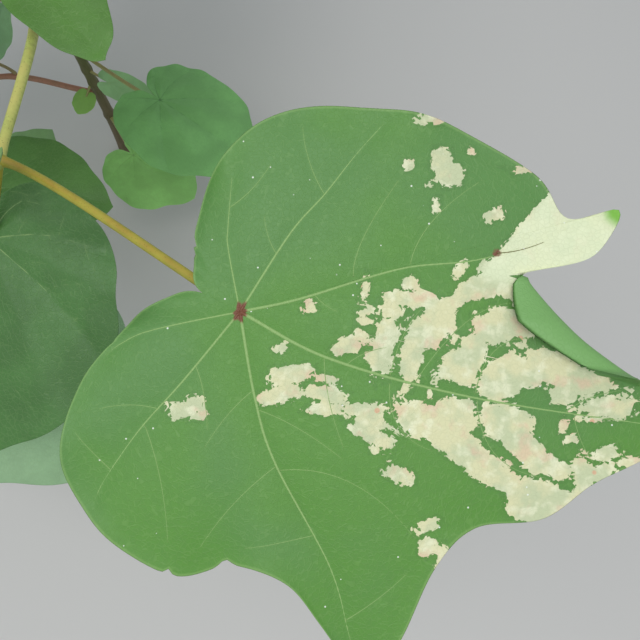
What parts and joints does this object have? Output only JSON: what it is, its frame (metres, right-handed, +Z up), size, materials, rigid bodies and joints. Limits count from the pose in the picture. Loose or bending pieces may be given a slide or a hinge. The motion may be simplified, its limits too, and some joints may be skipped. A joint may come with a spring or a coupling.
{
  "type": "cotton plant",
  "caption": "Young cotton plant with one main stem, side branches and a crown of broad long-stalked lobed leaves, the front leaf blotched with scorch.",
  "frame": {"origin": "middle of the flat cut under the main stem, at ground level", "axes": "+Z up along the main stem; the scorched leaf and the front branch lie towards -Y, and the scorched leaf's midrib points towards +X"},
  "size_m": [0.3828, 0.4113, 0.3501],
  "materials": {
    "stem": "satin",
    "branch": "satin",
    "red_branch": "satin",
    "leaf": "satin",
    "scorched_leaf": "satin",
    "young_leaf": "satin"
  },
  "bodies": {
    "root": {"back_branch": "branch", "back_leaf_1": "leaf", "back_leaf_2": "leaf", "back_leaf_3": "leaf", "back_tip_shoot": "young_leaf", "crown_leaf_1": "leaf", "crown_leaf_2": "leaf", "crown_leaf_3": "leaf", "crown_leaf_4": "leaf", "crown_leaf_5": "leaf", "crown_leaf_6": "leaf", "crown_leaf_7": "leaf", "front_branch": "branch", "front_leaf_1": "leaf", "front_tip_shoot": "young_leaf", "leaf_curled": "leaf", "leaf_far_left": "leaf", "leaf_fork": "leaf", "leaf_heart": "leaf", "leaf_left_dark": "leaf", "leaf_left_near": "leaf", "leaf_left_pale": "leaf", "leaf_left_small": "leaf", "leaf_low_bright": "leaf", "leaf_scorched": "scorched_leaf", "leaflet_axil": "leaf", "left_branch": "red_branch", "left_leaf_1": "leaf", "left_leaf_2": "leaf", "left_tip_shoot": "young_leaf", "low_leaf_1": "leaf", "low_leaf_2": "leaf", "main_stem": "stem", "right_branch": "branch", "right_leaf_1": "leaf", "right_leaf_2": "leaf", "right_leaf_3": "leaf", "right_tip_shoot": "young_leaf", "stem_tip_shoot": "young_leaf"}
  },
  "joints": []
}
